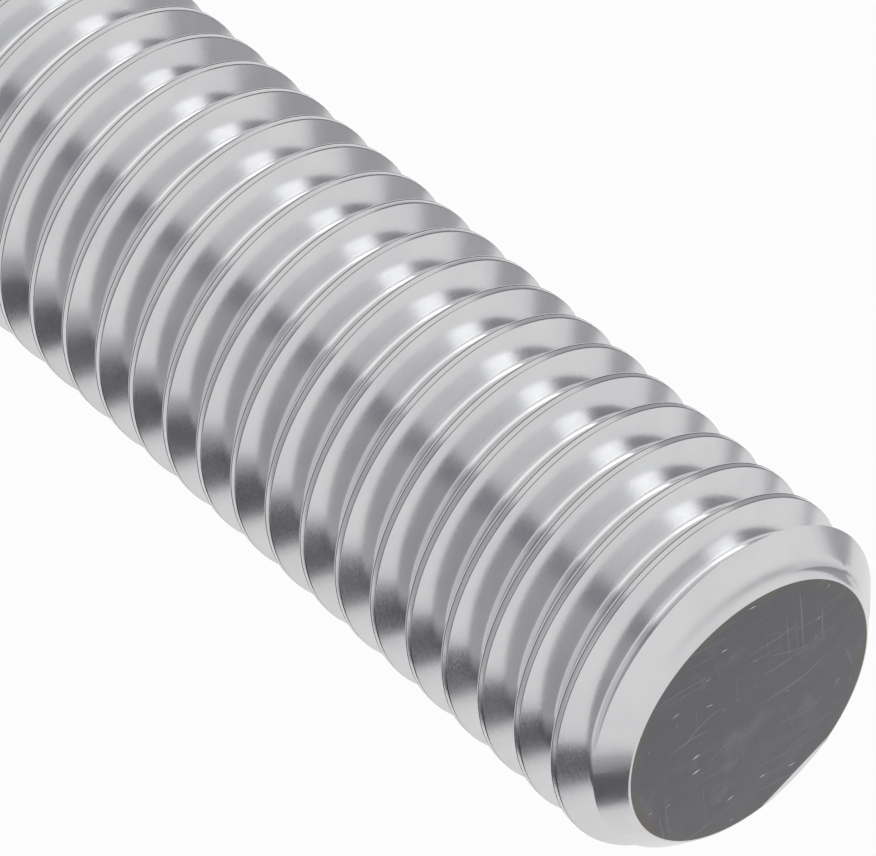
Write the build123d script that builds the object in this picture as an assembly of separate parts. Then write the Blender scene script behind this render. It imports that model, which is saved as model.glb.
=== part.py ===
from build123d import *
import math
import os

# Threaded rod, M18 x 2.5, right hand, rolled full length and cut square.
# Millimetres. The axis is +Z, and the lower end face lies on z = 0.

rod_length = 100.0
major_diameter = 17.80       # over the crests, within the 6g limits of M18
pitch = 2.5
flank_angle = 60.0           # between the two flanks of a groove
crest_flat = 0.40            # width of the flat crest along the axis
root_radius = 0.36           # rounding at the bottom of the groove
chamfer_past_root = 0.39     # how far the end chamfer goes in below the root
chamfer_slope = 1.5          # radial run of the chamfer for each unit along the axis
crest_bearing = 41.1         # degrees about +Z where the crest meets the top end

# Section of the groove, from its sharp apex outwards.
major_radius = major_diameter / 2
half_angle = math.radians(flank_angle / 2)
half_opening = (pitch - crest_flat) / 2
apex_radius = major_radius - half_opening / math.tan(half_angle)
root_floor = apex_radius + root_radius / math.sin(half_angle) - root_radius
tangent_radius = apex_radius + root_radius * math.cos(half_angle) / math.tan(half_angle)
tangent_half_width = root_radius * math.cos(half_angle)

# The cutter stops halfway between the crest and the point where two grooves
# would meet, so it clears the blank and never touches its neighbour.
cutter_radius = major_radius + crest_flat / 4 / math.tan(half_angle)
cutter_half_width = (cutter_radius - apex_radius) * math.tan(half_angle)

# The plain bar with both end chamfers. They run in below the root, so each
# end face is a full circle.
face_radius = root_floor - chamfer_past_root
chamfer_height = (major_radius - face_radius) / chamfer_slope
middle = Pos(0, 0, rod_length / 2) * Cylinder(major_radius, rod_length - 2 * chamfer_height)
upper_end = Pos(0, 0, rod_length - chamfer_height / 2) * Cone(major_radius, face_radius, chamfer_height)
lower_end = Pos(0, 0, chamfer_height / 2) * Cone(face_radius, major_radius, chamfer_height)
blank = middle + upper_end + lower_end

# One turn of the groove: two straight flanks and a round root.
radial_plane = Plane(origin=(0, 0, 0), x_dir=(1, 0, 0), z_dir=(0, -1, 0))
with BuildSketch(radial_plane) as groove_section:
    with BuildLine():
        lower_flank = Line((cutter_radius, -cutter_half_width), (tangent_radius, -tangent_half_width))
        root = ThreePointArc(lower_flank @ 1, (root_floor, 0), (tangent_radius, tangent_half_width))
        upper_flank = Line(root @ 1, (cutter_radius, cutter_half_width))
        Line(upper_flank @ 1, lower_flank @ 0)
    make_face()
one_turn = Helix(pitch=pitch, height=pitch, radius=major_radius)
groove_turn = sweep(groove_section.sketch, path=one_turn, is_frenet=True)

# The turns stack end to end down the bar and run out past both ends.
turn_count = math.ceil(rod_length / pitch) + 3
first_turn = Pos(0, 0, rod_length + pitch / 2) * Rot(0, 0, crest_bearing) * groove_turn
groove = [Pos(0, 0, -turn * pitch) * first_turn for turn in range(turn_count)]
threaded_rod = blank - groove
threaded_rod.label = "threaded_rod"

os.makedirs("parts", exist_ok=True)
export_step(threaded_rod, "parts/threaded_rod.step")
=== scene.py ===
import bpy
import math
from mathutils import Matrix, Vector


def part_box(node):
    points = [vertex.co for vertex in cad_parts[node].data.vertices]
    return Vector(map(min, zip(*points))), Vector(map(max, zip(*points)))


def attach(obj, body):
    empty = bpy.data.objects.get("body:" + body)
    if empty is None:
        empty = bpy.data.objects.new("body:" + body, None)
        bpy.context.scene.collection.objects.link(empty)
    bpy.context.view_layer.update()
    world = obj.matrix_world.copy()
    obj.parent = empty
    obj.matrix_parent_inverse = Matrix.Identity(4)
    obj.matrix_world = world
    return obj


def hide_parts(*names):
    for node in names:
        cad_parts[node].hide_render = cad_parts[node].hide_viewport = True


# A threaded rod standing on its end, with its camera and soft studio light.

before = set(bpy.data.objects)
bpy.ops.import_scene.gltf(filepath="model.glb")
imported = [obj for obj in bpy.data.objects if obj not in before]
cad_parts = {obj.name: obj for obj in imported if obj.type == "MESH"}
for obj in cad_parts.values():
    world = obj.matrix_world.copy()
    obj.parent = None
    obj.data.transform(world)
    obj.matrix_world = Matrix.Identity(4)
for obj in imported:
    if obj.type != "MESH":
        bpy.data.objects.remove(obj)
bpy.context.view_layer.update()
mm = 0.001
rodLow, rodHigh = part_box("threaded_rod")
rodLength = rodHigh.z - rodLow.z
rodRadius = (rodHigh.x - rodLow.x) / 2
print("frame loaded:", round(rodLength / mm, 2), "mm long,", round(rodRadius * 2 / mm, 3), "mm over the crests")


def deselectAll():
    if bpy.context.object and bpy.context.object.mode != "OBJECT":
        bpy.ops.object.mode_set(mode="OBJECT")
    bpy.ops.object.select_all(action="DESELECT")


def makeActive(piece):
    deselectAll()
    piece.select_set(True)
    bpy.context.view_layer.objects.active = piece


def applyModifier(piece, kind, **values):
    makeActive(piece)
    modifier = piece.modifiers.new(kind.title(), kind)
    for name, value in values.items():
        setattr(modifier, name, value)
    bpy.ops.object.modifier_apply(modifier=modifier.name)


thread = {
    "pitch": 2.5 * mm,
    "crestFlat": 0.40 * mm,       # axial width of the crest, between sharp corners
    "rootRadius": 0.36 * mm,
    "farRound": 0.12 * mm,        # edge rounding on the crest's lower side
    "nearRound": 0.07 * mm,       # and on its upper side
    "seamDepth": 0.020 * mm,      # rolling seam just inside the lower edge
    "seamWidth": 0.060 * mm,
    "stepsPerTurn": 96,
    "crestBearing": 41.1,         # where the crest meets the top end, degrees about Z
    "runOutTurns": 2,             # turns past each end, trimmed off later
    "smoothAngle": 28,            # degrees; sharper edges than this stay sharp
}

rodEnd = {
    "chamferPastRoot": 0.39 * mm,    # how far the chamfer runs in below the root
    "chamferSlope": 1.5,          # radial run for each unit along the axis
    "rimRound": 0.07 * mm,
    "facets": 120,
    "stretch": 4.5 * mm,          # length of each end that is trimmed as a piece of its own
    "flatBearing": 83.1,          # small worn flat across the upper face's edge, degrees about Z
    "flatFromAxis": 6.700 * mm,
    "flatTilt": 12.0,             # degrees down from the face
}

tan30 = math.tan(math.radians(30))
halfOpening = (thread["pitch"] - thread["crestFlat"]) / 2
rootFloor = rodRadius - halfOpening / tan30 + thread["rootRadius"]
faceRadius = rootFloor - rodEnd["chamferPastRoot"]


def roundCorner(centreR, centreZ, radius, fromDegrees, toDegrees, count):
    points = []
    for i in range(count):
        turn = math.radians(fromDegrees + (toDegrees - fromDegrees) * i / (count - 1))
        points.append((centreR + radius * math.cos(turn), centreZ + radius * math.sin(turn)))
    return points


def threadSection():
    # One pitch, from root to root, with the crest's middle at height 0.
    half, crest = thread["pitch"] / 2, thread["crestFlat"] / 2
    root, far, near = thread["rootRadius"], thread["farRound"], thread["nearRound"]
    seam, seamAt = thread["seamDepth"], thread["seamWidth"]
    points = roundCorner(rootFloor + root, -half, root, 180, 120, 4)
    points += roundCorner(rodRadius - far, -crest + far * tan30, far, -60, 0, 4)
    seamStart = -crest + far * tan30
    points += [(rodRadius - seam, seamStart + seamAt / 2), (rodRadius, seamStart + seamAt)]
    points += roundCorner(rodRadius - near, crest - near * tan30, near, 0, 60, 4)
    points += roundCorner(rootFloor + root, half, root, -120, -180, 4)
    return points


def makeThread():
    points = threadSection()
    turns = math.ceil(rodLength / thread["pitch"]) + 2 * thread["runOutTurns"]
    bottom = rodHigh.z - (turns - thread["runOutTurns"]) * thread["pitch"]
    deselectAll()
    bpy.ops.mesh.primitive_plane_add(size=mm, location=(0, 0, 0))
    piece = bpy.context.object
    piece.name = "threadedRod"
    bpy.ops.object.mode_set(mode="EDIT")
    bpy.ops.mesh.select_all(action="SELECT")
    bpy.ops.mesh.merge(type="CENTER")
    bpy.ops.transform.translate(value=(points[0][0], 0, points[0][1] + bottom))
    for before, after in zip(points, points[1:]):
        step = (after[0] - before[0], 0, after[1] - before[1])
        bpy.ops.mesh.extrude_region_move(TRANSFORM_OT_translate={"value": step})
    bpy.ops.object.mode_set(mode="OBJECT")
    applyModifier(piece, "SCREW", axis="Z", angle=2 * math.pi, screw_offset=thread["pitch"],
                  iterations=turns, steps=thread["stepsPerTurn"], render_steps=thread["stepsPerTurn"])
    bpy.ops.object.mode_set(mode="EDIT")
    bpy.ops.mesh.select_all(action="SELECT")
    bpy.ops.mesh.remove_doubles(threshold=0.002 * mm)
    bpy.ops.object.mode_set(mode="OBJECT")
    piece.rotation_euler.z = math.radians(thread["crestBearing"])
    bpy.ops.object.transform_apply(location=True, rotation=True, scale=True)
    return piece


def bisectAll(point, normal):
    bpy.ops.mesh.select_all(action="SELECT")
    # In metres, the usual threshold would be too coarse for edges this small.
    bpy.ops.mesh.bisect(plane_co=point, plane_no=normal, use_fill=True, clear_outer=True, threshold=1e-8)


def separateEnd(piece, height, upwards):
    # The last turns become a small piece of their own, so that trimming them is quick.
    makeActive(piece)
    for face in piece.data.polygons:
        face.select = (face.center.z - height) * upwards > -rodEnd["stretch"]
    bpy.ops.object.mode_set(mode="EDIT")
    bpy.ops.mesh.separate(type="SELECTED")
    bpy.ops.object.mode_set(mode="OBJECT")
    return [other for other in bpy.context.selected_objects if other != piece][0]


def trimEnd(piece, height, upwards):
    # The end is cut square, then chamfered with a ring of slanted cuts. The upper
    # end also gets its worn flat.
    makeActive(piece)
    bpy.ops.object.mode_set(mode="EDIT")
    bisectAll((0, 0, height), (0, 0, upwards))
    for i in range(rodEnd["facets"]):
        around = 2 * math.pi * i / rodEnd["facets"]
        outward = Vector((math.cos(around), math.sin(around), 0))
        slant = outward + Vector((0, 0, upwards * rodEnd["chamferSlope"]))
        bisectAll(outward * faceRadius + Vector((0, 0, height)), slant)
    if upwards > 0:
        around, tilt = math.radians(rodEnd["flatBearing"]), math.radians(rodEnd["flatTilt"])
        outward = Vector((math.cos(around), math.sin(around), 0))
        edge = outward * rodEnd["flatFromAxis"] + Vector((0, 0, height))
        bisectAll(edge, outward * math.sin(tilt) + Vector((0, 0, math.cos(tilt))))
    bpy.ops.object.mode_set(mode="OBJECT")


def roundRim(piece, height):
    # The edge between the end face and its chamfer is broken slightly.
    makeActive(piece)
    bpy.ops.object.mode_set(mode="EDIT")
    bpy.ops.mesh.select_mode(type="EDGE")
    bpy.ops.mesh.select_all(action="DESELECT")
    bpy.ops.object.mode_set(mode="OBJECT")
    points = piece.data.vertices
    for edge in piece.data.edges:
        ends = [points[i].co for i in edge.vertices]
        edge.select = max(abs(end.z - height) for end in ends) < 1e-7
    bpy.ops.object.mode_set(mode="EDIT")
    bpy.ops.mesh.bevel(offset=rodEnd["rimRound"], segments=3, affect="EDGES")
    bpy.ops.mesh.select_mode(type="VERT")
    bpy.ops.object.mode_set(mode="OBJECT")


rod = makeThread()
for height, upwards in ((rodHigh.z, 1), (rodLow.z, -1)):
    lastTurns = separateEnd(rod, height, upwards)
    trimEnd(lastTurns, height, upwards)
    roundRim(lastTurns, height)
    makeActive(rod)
    lastTurns.select_set(True)
    bpy.ops.object.join()
bpy.ops.object.mode_set(mode="EDIT")
bpy.ops.mesh.select_all(action="SELECT")
bpy.ops.mesh.remove_doubles(threshold=0.0002 * mm)
bpy.ops.mesh.normals_make_consistent(inside=False)
bpy.ops.object.mode_set(mode="OBJECT")
bpy.ops.object.shade_smooth_by_angle(angle=math.radians(thread["smoothAngle"]))
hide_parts("threaded_rod")
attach(rod, "root")
print("thread made:", len(rod.data.polygons), "faces")


# Metal finishes, with painted shade along the crest edges and in the upper chamfer's dip. Patterns read Object
# coordinates, in metres.

threadFinish = {
    "colour": (0.590, 0.592, 0.602, 1),
    "paleColour": (0.630, 0.632, 0.640, 1),   # where the plating is thicker
    "roughness": 0.19,
    "cloudScale": 260.0,          # patches a few millimetres wide
    "grainAcross": 0.055 * mm,    # size of the rolled grain across the thread
    "grainAlong": 0.16 * mm,      # and along it
    "grainHeight": 0.0009,        # mm
    "crestEdgeShadeColour": (0.20, 0.195, 0.20, 1),     # painted shade: thin dark lines along both edges of the crest, the lower one lying over the rolling seam
    "crestEdgeShadePlaces": (-0.115 * mm, 0.185 * mm),
    "crestEdgeShadeHalfWidth": 0.030 * mm,
    "seamStart": 0.09 * mm,       # depths below the crest where the painted edge shade begins to show
    "crestEdgeShadeFull": 0.05 * mm,        # and show fully
    "dipRadius": 7.45 * mm,       # soft dip round part of the upper chamfer
    "dipWidth": 0.16 * mm,
    "dipDepth": 0.070,            # mm
    # painted shade: darkens the dip where its bump alone would mirror plain white
    "dipShadeColour": (0.36, 0.36, 0.37, 1),
    "dipEndX": (-0.45, 0.20),     # it fades out between these cosines of the bearing,
    "dipEndY": (-0.05, 0.30),     # between these sines,
    "dipBelow": (0.9 * mm, 1.3 * mm),         # and between these depths under the top
}

endFinish = {
    "colour": (0.122, 0.120, 0.131, 1),
    "smudgeColour": (0.186, 0.183, 0.198, 1),
    "rimColour": (0.150, 0.138, 0.112, 1),
    "scratchColour": (0.27, 0.27, 0.28, 1),
    "nickColour": (0.80, 0.80, 0.80, 1),
    "roughness": 0.40,
    "cloudScale": 330.0,
    "speckScale": 9000.0,
    "rimWidth": 0.75 * mm,        # warmer band round the edge
    "scratchHeight": 0.004 * mm,
    # Direction in radians, then how short, thin and rare the marks are, and a shift
    # that gives each set a pattern of its own.
    "scratches": ((0.62, 150.0, 12000.0, 0.760, 3.0), (1.95, 170.0, 13000.0, 0.772, 9.0),
                  (0.15, 210.0, 14000.0, 0.765, 17.0)),
    "nicks": (0.5, 1100.0, 8500.0, 0.815, 31.0),
    "scratchStrength": 0.6,
    "bendScale": 120.0,           # scratches wander from a straight line
    "bendSize": 4 * mm,
    "contrast": 14.0,             # how abruptly a mark begins and ends
}


def makeGroup(name, inputs, outputs):
    group = bpy.data.node_groups.new(name, "ShaderNodeTree")
    for label, kind, value in inputs:
        socket = group.interface.new_socket(name=label, in_out="INPUT", socket_type=kind)
        if value is not None:
            socket.default_value = value
    for label, kind in outputs:
        group.interface.new_socket(name=label, in_out="OUTPUT", socket_type=kind)
    return group, group.nodes.new("NodeGroupInput"), group.nodes.new("NodeGroupOutput")


def feed(tree, socket, value):
    # Links another node's output, or sets a plain value.
    if isinstance(value, bpy.types.NodeSocket):
        tree.links.new(value, socket)
    else:
        socket.default_value = value


def addNode(tree, kind, settings=None, **inputs):
    # Inputs are given by name, with _ for a space, or as in0, in1 by number.
    node = tree.nodes.new(kind)
    for name, value in (settings or {}).items():
        setattr(node, name, value)
    for name, value in inputs.items():
        number = name[2:] if name.startswith("in") and name[2:].isdigit() else None
        feed(tree, node.inputs[int(number)] if number else node.inputs[name.replace("_", " ")], value)
    return node


def calculate(tree, operation, *values):
    inputs = {"in" + str(i): value for i, value in enumerate(values)}
    return addNode(tree, "ShaderNodeMath", {"operation": operation}, **inputs).outputs[0]


def spread(tree, value, low, high, toLow=0.0, toHigh=1.0):
    # Stretches a value between low and high, and holds it outside them.
    return addNode(tree, "ShaderNodeMapRange", {"interpolation_type": "SMOOTHSTEP"}, Value=value,
                   From_Min=low, From_Max=high, To_Min=toLow, To_Max=toHigh).outputs[0]


def mixColours(tree, factor, first, second):
    node = addNode(tree, "ShaderNodeMix", {"data_type": "RGBA"}, in0=factor)
    feed(tree, node.inputs[6], first)
    feed(tree, node.inputs[7], second)
    return node.outputs[2]


def product(tree, *values):
    result = values[0]
    for value in values[1:]:
        result = calculate(tree, "MULTIPLY", result, value)
    return result


def distanceFromAxis(tree, x, y):
    return calculate(tree, "SQRT", calculate(tree, "ADD", product(tree, x, x), product(tree, y, y)))


def grainGroup():
    # Fine grain, longer along the thread than across it, and soft clouds.
    group, given, result = makeGroup("rolledGrain", [
        ("Vector", "NodeSocketVector", None),
        ("Across", "NodeSocketFloat", 1000.0),
        ("Along", "NodeSocketFloat", 300.0),
        ("Cloud Scale", "NodeSocketFloat", 260.0),
    ], [("Grain", "NodeSocketFloat"), ("Cloud", "NodeSocketFloat")])
    vector, across, along, cloudScale = given.outputs[:4]
    x, y, z = addNode(group, "ShaderNodeSeparateXYZ", Vector=vector).outputs
    fromAxis = distanceFromAxis(group, x, y)
    grainX = calculate(group, "ADD", product(group, fromAxis, across), product(group, x, along))
    place = addNode(group, "ShaderNodeCombineXYZ", X=grainX, Y=product(group, y, along), Z=product(group, z, across))
    fine = addNode(group, "ShaderNodeTexNoise", Vector=place.outputs[0], Scale=1.0, Detail=2.0, Roughness=0.6)
    cloud = addNode(group, "ShaderNodeTexNoise", Vector=vector, Scale=cloudScale, Detail=3.0, Roughness=0.55)
    feed(group, result.inputs["Grain"], fine.outputs[0])
    feed(group, result.inputs["Cloud"], cloud.outputs[0])
    return group


def threadPlaceGroup():
    # How far a point lies from the middle of the crest, measured along the axis.
    group, given, result = makeGroup("threadPlace", [
        ("Vector", "NodeSocketVector", None),
        ("Top", "NodeSocketFloat", 0.1),
        ("Pitch", "NodeSocketFloat", 0.0025),
        ("Bearing", "NodeSocketFloat", 0.0),
    ], [("Offset", "NodeSocketFloat"), ("From Axis", "NodeSocketFloat"), ("Below Top", "NodeSocketFloat")])
    vector, top, pitch, bearing = given.outputs[:4]
    x, y, z = addNode(group, "ShaderNodeSeparateXYZ", Vector=vector).outputs
    below = calculate(group, "SUBTRACT", top, z)
    around = calculate(group, "SUBTRACT", calculate(group, "ARCTAN2", y, x), bearing)
    pitches = calculate(group, "DIVIDE", below, pitch)
    turns = calculate(group, "ADD", pitches, calculate(group, "DIVIDE", around, 2 * math.pi))
    wrapped = calculate(group, "WRAP", product(group, turns, -1.0), 0.5, -0.5)
    feed(group, result.inputs["Offset"], product(group, wrapped, pitch))
    feed(group, result.inputs["From Axis"], distanceFromAxis(group, x, y))
    feed(group, result.inputs["Below Top"], below)
    return group


def scratchGroup():
    # Thin marks in one direction, longer than they are wide, and few.
    group, given, result = makeGroup("scratchMarks", [
        ("Vector", "NodeSocketVector", None),
        ("Turn", "NodeSocketFloat", 0.0),
        ("Length", "NodeSocketFloat", 300.0),
        ("Width", "NodeSocketFloat", 8000.0),
        ("Sparse", "NodeSocketFloat", 0.7),
        ("Shift", "NodeSocketFloat", 0.0),
    ], [("Marks", "NodeSocketFloat")])
    vector, turn, length, width, sparse, shift = given.outputs[:6]
    turned = addNode(group, "ShaderNodeVectorRotate", {"rotation_type": "Z_AXIS"}, Vector=vector, Angle=turn)
    bend = addNode(group, "ShaderNodeTexNoise", Vector=vector, Scale=endFinish["bendScale"], Detail=0.0)
    x, y, z = addNode(group, "ShaderNodeSeparateXYZ", Vector=turned.outputs[0]).outputs
    bent = calculate(group, "ADD", y, product(group, bend.outputs[0], endFinish["bendSize"]))
    place = addNode(group, "ShaderNodeCombineXYZ", X=product(group, x, length), Y=product(group, bent, width), Z=shift)
    noise = addNode(group, "ShaderNodeTexNoise", Vector=place.outputs[0], Scale=1.0, Detail=0.0)
    above = calculate(group, "SUBTRACT", noise.outputs[0], sparse)
    marks = addNode(group, "ShaderNodeMath", {"operation": "MULTIPLY", "use_clamp": True},
                    in0=above, in1=endFinish["contrast"])
    feed(group, result.inputs["Marks"], marks.outputs[0])
    return group


grain, threadPlace, scratches = grainGroup(), threadPlaceGroup(), scratchGroup()


def startMaterial(name):
    material = bpy.data.materials.new(name)
    material.use_nodes = True
    tree = material.node_tree
    shader = tree.nodes["Principled BSDF"]
    shader.inputs["Metallic"].default_value = 1
    place = addNode(tree, "ShaderNodeTexCoord").outputs["Object"]
    return material, tree, shader, place


def placeGroup(tree, group, *values):
    # Values are given in the order of the group's inputs.
    node = tree.nodes.new("ShaderNodeGroup")
    node.node_tree = group
    for socket, value in zip(node.inputs, values):
        feed(tree, socket, value)
    return node.outputs


# Painted shade: dark lines along both edges of the crest, standing in for the shade at those edges.
def seamLines(tree, offset, fromAxis):
    lines, halfWidth = None, threadFinish["crestEdgeShadeHalfWidth"]
    for place in threadFinish["crestEdgeShadePlaces"]:
        away = calculate(tree, "ABSOLUTE", calculate(tree, "SUBTRACT", offset, place))
        line = spread(tree, away, halfWidth * 0.3, halfWidth, 1.0, 0.0)
        lines = line if lines is None else calculate(tree, "MAXIMUM", lines, line)
    onCrest = spread(tree, fromAxis, rodRadius - threadFinish["seamStart"], rodRadius - threadFinish["crestEdgeShadeFull"])
    return product(tree, lines, onCrest)


def endDip(tree, place, fromAxis, below):
    # 1 along the dip in the upper chamfer, fading across it and towards both of its ends.
    x, y = addNode(tree, "ShaderNodeSeparateXYZ", Vector=place).outputs[:2]
    across = calculate(tree, "SUBTRACT", fromAxis, threadFinish["dipRadius"])
    scaled = calculate(tree, "DIVIDE", across, threadFinish["dipWidth"])
    fade = calculate(tree, "POWER", math.e, product(tree, scaled, scaled, -1.0))
    alongX = spread(tree, calculate(tree, "DIVIDE", x, fromAxis), *threadFinish["dipEndX"], 1.0, 0.0)
    alongY = spread(tree, calculate(tree, "DIVIDE", y, fromAxis), *threadFinish["dipEndY"], 1.0, 0.0)
    nearTop = spread(tree, below, *threadFinish["dipBelow"], 1.0, 0.0)
    return product(tree, fade, nearTop, alongX, alongY)


def makeThreadSteel():
    material, tree, shader, place = startMaterial("platedSteel")
    finish = threadFinish
    fine, cloud = placeGroup(tree, grain, place, 1 / finish["grainAcross"], 1 / finish["grainAlong"],
                             finish["cloudScale"])
    offset, fromAxis, below = placeGroup(tree, threadPlace, place, rodHigh.z, thread["pitch"],
                                         math.radians(thread["crestBearing"]))
    dipLine = endDip(tree, place, fromAxis, below)
    colour = mixColours(tree, spread(tree, cloud, 0.35, 0.65), finish["colour"], finish["paleColour"])
    # Painted shade along the crest's edges.
    colour = mixColours(tree, seamLines(tree, offset, fromAxis), colour, finish["crestEdgeShadeColour"])
    # Painted shade in the dip, patchy with the clouds.
    dipShade = product(tree, dipLine, spread(tree, cloud, 0.3, 0.7, 0.25, 0.75))
    feed(tree, shader.inputs["Base Color"], mixColours(tree, dipShade, colour, finish["dipShadeColour"]))
    fineRough = spread(tree, fine, 0.3, 0.7, finish["roughness"] - 0.03, finish["roughness"] + 0.04)
    cloudRough = spread(tree, cloud, 0.3, 0.7, -0.015, 0.02)
    feed(tree, shader.inputs["Roughness"], calculate(tree, "ADD", fineRough, cloudRough))
    dipHeight = product(tree, dipLine, -finish["dipDepth"])
    height = calculate(tree, "ADD", product(tree, fine, finish["grainHeight"]), dipHeight)
    bump = addNode(tree, "ShaderNodeBump", Strength=1.0, Distance=mm, Height=height)
    feed(tree, shader.inputs["Normal"], bump.outputs[0])
    return material


def makeEndSteel():
    material, tree, shader, place = startMaterial("cutSteel")
    finish = endFinish
    x, y = addNode(tree, "ShaderNodeSeparateXYZ", Vector=place).outputs[:2]
    fromAxis = distanceFromAxis(tree, x, y)
    clouds = addNode(tree, "ShaderNodeTexNoise", Vector=place, Scale=finish["cloudScale"], Detail=4.0, Roughness=0.6)
    specks = addNode(tree, "ShaderNodeTexNoise", Vector=place, Scale=finish["speckScale"], Detail=2.0, Roughness=0.6)
    cloud, speck = clouds.outputs[0], specks.outputs[0]
    smudge = product(tree, spread(tree, cloud, 0.50, 0.72), spread(tree, speck, 0.30, 0.70, 0.35, 1.0))
    colour = mixColours(tree, smudge, finish["colour"], finish["smudgeColour"])
    rim = spread(tree, fromAxis, faceRadius - finish["rimWidth"], faceRadius - 0.05 * mm)
    rimPart = product(tree, rim, spread(tree, cloud, 0.38, 0.62, 0.15, 0.8))
    colour = mixColours(tree, rimPart, colour, finish["rimColour"])
    fineMarks = None
    for values in finish["scratches"]:
        marks = placeGroup(tree, scratches, place, *values)[0]
        fineMarks = marks if fineMarks is None else calculate(tree, "MAXIMUM", fineMarks, marks)
    nicks = placeGroup(tree, scratches, place, *finish["nicks"])[0]
    colour = mixColours(tree, product(tree, fineMarks, finish["scratchStrength"]), colour, finish["scratchColour"])
    feed(tree, shader.inputs["Base Color"], mixColours(tree, nicks, colour, finish["nickColour"]))
    cloudRough = spread(tree, cloud, 0.3, 0.7, finish["roughness"] - 0.05, finish["roughness"] + 0.07)
    feed(tree, shader.inputs["Roughness"], calculate(tree, "SUBTRACT", cloudRough, product(tree, fineMarks, 0.08)))
    height = calculate(tree, "SUBTRACT", product(tree, speck, 0.25), calculate(tree, "MAXIMUM", fineMarks, nicks))
    bump = addNode(tree, "ShaderNodeBump", Strength=0.6, Distance=finish["scratchHeight"], Height=height)
    feed(tree, shader.inputs["Normal"], bump.outputs[0])
    return material


rod.data.materials.clear()
rod.data.materials.append(makeThreadSteel())
rod.data.materials.append(makeEndSteel())
for face in rod.data.polygons:
    atEnd = min(abs(face.center.z - rodLow.z), abs(face.center.z - rodHigh.z)) < 0.002 * mm
    face.material_index = 1 if atEnd and abs(face.normal.z) > 0.999 else 0
print("materials made")

# Pale floor, soft lamps, and cards that only the metal mirrors.

studio = {
    "floorSize": 3.0,
    "floorColour": (0.90, 0.90, 0.90, 1),
    "floorGlow": 0.86,            # share of plain white in the floor, as the camera and the metal see it
    "worldStrength": 0.90,
}

# Cards and lamps stand upright between two bearings, in degrees about Z, at a distance
# from the axis. Low and high are their edges' heights over the floor.
cards = {
    "sideCardLow": {"bearings": (-93, 0), "distance": 160 * mm, "low": 0.5 * mm, "high": 48 * mm,
        "colour": (0.53, 0.53, 0.545, 1)},
    "sideCardHigh": {"bearings": (-93, 0), "distance": 160 * mm, "low": 48 * mm, "high": 165 * mm,
        "colour": (0.76, 0.76, 0.78, 1)},
    "sideCardEdge": {"bearings": (-95, -76), "distance": 130 * mm, "low": 0.5 * mm, "high": 150 * mm,
        "colour": (0.49, 0.485, 0.53, 1)},
    "softCard": {"bearings": (3, 14), "distance": 152 * mm, "low": 0.5 * mm, "high": 260 * mm,
        "colour": (0.46, 0.46, 0.475, 1)},
    "darkCard": {"bearings": (13, 34), "distance": 150 * mm, "low": 0.5 * mm, "high": 260 * mm,
        "colour": (0.12, 0.12, 0.135, 1)},
    "backCard": {"bearings": (123, 184), "distance": 140 * mm, "low": 0.5 * mm, "high": 128 * mm,
        "colour": (0.48, 0.475, 0.50, 1)},
}

lamps = {
    "stripLamp": {"bearings": (-176, -152), "distance": 420 * mm, "low": 20 * mm, "high": 215 * mm, "power": 0.175},
    "fillLamp": {"bearings": (-150, -98), "distance": 450 * mm, "low": 30 * mm, "high": 190 * mm, "power": 0.10},
}


def panelPlace(values):
    # The middle of a flat, upright panel, the way it faces, its width and its height.
    turns = [math.radians(each) for each in values["bearings"]]
    ends = [Vector((math.cos(turn), math.sin(turn), 0)) * values["distance"] for turn in turns]
    middle = (ends[0] + ends[1]) / 2
    middle.z = (values["low"] + values["high"]) / 2
    facing = math.atan2(-middle.y, -middle.x)
    return middle, facing, (ends[1] - ends[0]).length, values["high"] - values["low"]


def plainGlow(name, colour):
    material = bpy.data.materials.new(name)
    material.use_nodes = True
    tree = material.node_tree
    tree.nodes.remove(tree.nodes["Principled BSDF"])
    glow = addNode(tree, "ShaderNodeEmission", Color=colour, Strength=1.0)
    tree.links.new(glow.outputs[0], tree.nodes["Material Output"].inputs[0])
    return material


def makeCard(name, values):
    # Only mirrored rays see a card, so it shades the metal and nothing else.
    middle, facing, width, height = panelPlace(values)
    deselectAll()
    bpy.ops.mesh.primitive_plane_add(size=1, location=middle, rotation=(math.pi / 2, 0, facing + math.pi / 2))
    card = bpy.context.object
    card.name = name
    card.scale = (width, height, 1)
    card.data.materials.append(plainGlow(name + "Paper", values["colour"]))
    card.visible_camera = card.visible_diffuse = card.visible_shadow = False
    card.visible_transmission = card.visible_volume_scatter = False


def makeLamp(name, values):
    middle, facing, width, height = panelPlace(values)
    bpy.ops.object.light_add(type="AREA", location=middle, rotation=(math.pi / 2, 0, facing - math.pi / 2))
    lamp = bpy.context.object
    lamp.name = name
    lamp.data.shape = "RECTANGLE"
    lamp.data.size, lamp.data.size_y = width, height
    lamp.data.energy = values["power"]
    lamp.visible_camera = False


def seenPlain(tree):
    # 1 where the camera, a mirrored ray or a transmitted ray looks, 0 for soft light.
    path = addNode(tree, "ShaderNodeLightPath")
    seen = calculate(tree, "MAXIMUM", path.outputs["Is Camera Ray"], path.outputs["Is Glossy Ray"])
    return calculate(tree, "MAXIMUM", seen, path.outputs["Is Transmission Ray"])


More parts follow.
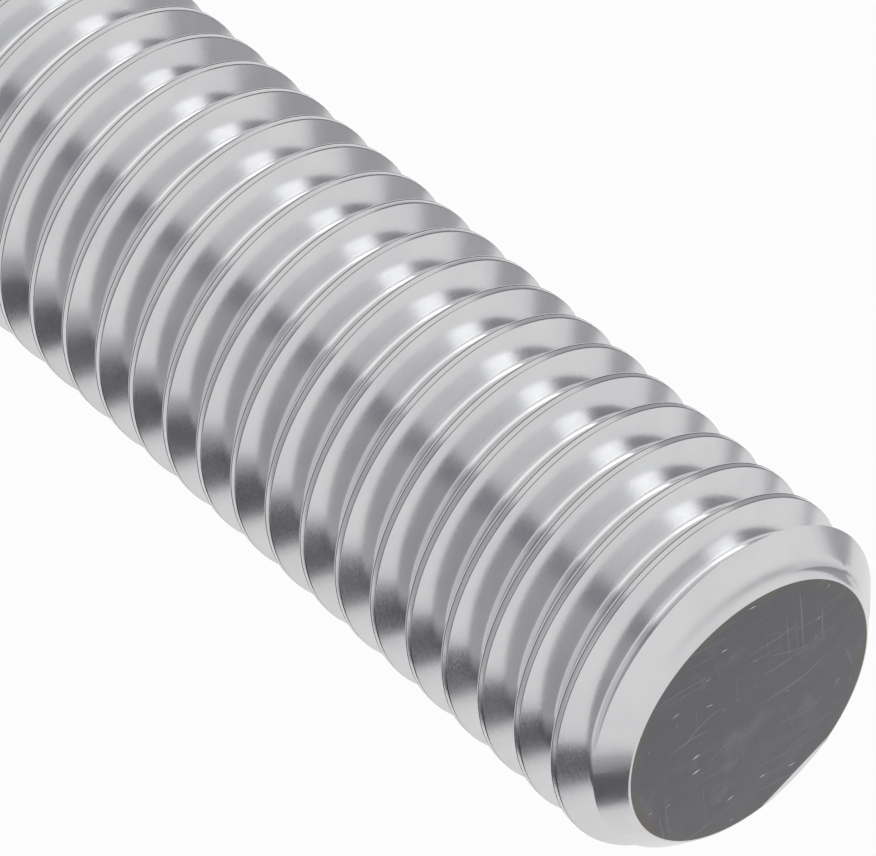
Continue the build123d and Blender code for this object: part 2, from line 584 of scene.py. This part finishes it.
def makeFloor():
    deselectAll()
    bpy.ops.mesh.primitive_plane_add(size=studio["floorSize"], location=(0, 0, rodLow.z))
    floor = bpy.context.object
    floor.name = "floor"
    material = bpy.data.materials.new("palePaper")
    material.use_nodes = True
    tree = material.node_tree
    paper = tree.nodes["Principled BSDF"]
    paper.inputs["Base Color"].default_value = studio["floorColour"]
    paper.inputs["Roughness"].default_value = 1
    paper.inputs["Specular IOR Level"].default_value = 0
    glow = addNode(tree, "ShaderNodeEmission", Color=(1, 1, 1, 1), Strength=1.0)
    share = calculate(tree, "MULTIPLY", seenPlain(tree), studio["floorGlow"])
    mixed = addNode(tree, "ShaderNodeMixShader", in0=share, in1=paper.outputs[0], in2=glow.outputs[0])
    tree.links.new(mixed.outputs[0], tree.nodes["Material Output"].inputs[0])
    floor.data.materials.append(material)


def makeWorld():
    world = bpy.data.worlds.new("studio")
    bpy.context.scene.world = world
    world.use_nodes = True
    tree = world.node_tree
    background = tree.nodes["Background"]
    background.inputs["Color"].default_value = (1, 1, 1, 1)
    strength = addNode(tree, "ShaderNodeMapRange", Value=seenPlain(tree), To_Min=studio["worldStrength"], To_Max=1.0)
    tree.links.new(strength.outputs[0], background.inputs["Strength"])


makeFloor()
makeWorld()
for name, values in cards.items():
    makeCard(name, values)
for name, values in lamps.items():
    makeLamp(name, values)
print("studio made:", len(cards), "cards and", len(lamps), "lamps")

view = {
    "focalLength": 313.9,         # on a 36 mm wide sensor
    "tilt": 56.68,                # degrees between the rod's axis and the line back to the camera
    "roll": 39.93,                # turn of the picture about the line of sight
    "faceCentre": (13.812 * mm, 12.533 * mm, 338.4 * mm),   # right, down and ahead of the camera
}


def makeCamera():
    tilt, roll = math.radians(view["tilt"]), math.radians(view["roll"])
    right = Vector((-math.sin(roll), math.cos(tilt) * math.cos(roll), math.sin(tilt) * math.cos(roll)))
    down = Vector((math.cos(roll), math.cos(tilt) * math.sin(roll), math.sin(tilt) * math.sin(roll)))
    ahead = Vector((0, math.sin(tilt), -math.cos(tilt)))
    offset = view["faceCentre"]
    place = Vector((0, 0, rodHigh.z)) - right * offset[0] - down * offset[1] - ahead * offset[2]
    turn = Matrix((right, -down, -ahead)).transposed().to_4x4()
    bpy.ops.object.camera_add()
    camera = bpy.context.object
    camera.matrix_world = Matrix.Translation(place) @ turn
    camera.data.sensor_width = 36
    camera.data.lens = view["focalLength"]
    camera.data.clip_start = 0.01
    bpy.context.scene.camera = camera


makeCamera()
bpy.context.scene.view_settings.view_transform = "Standard"
print("camera set")
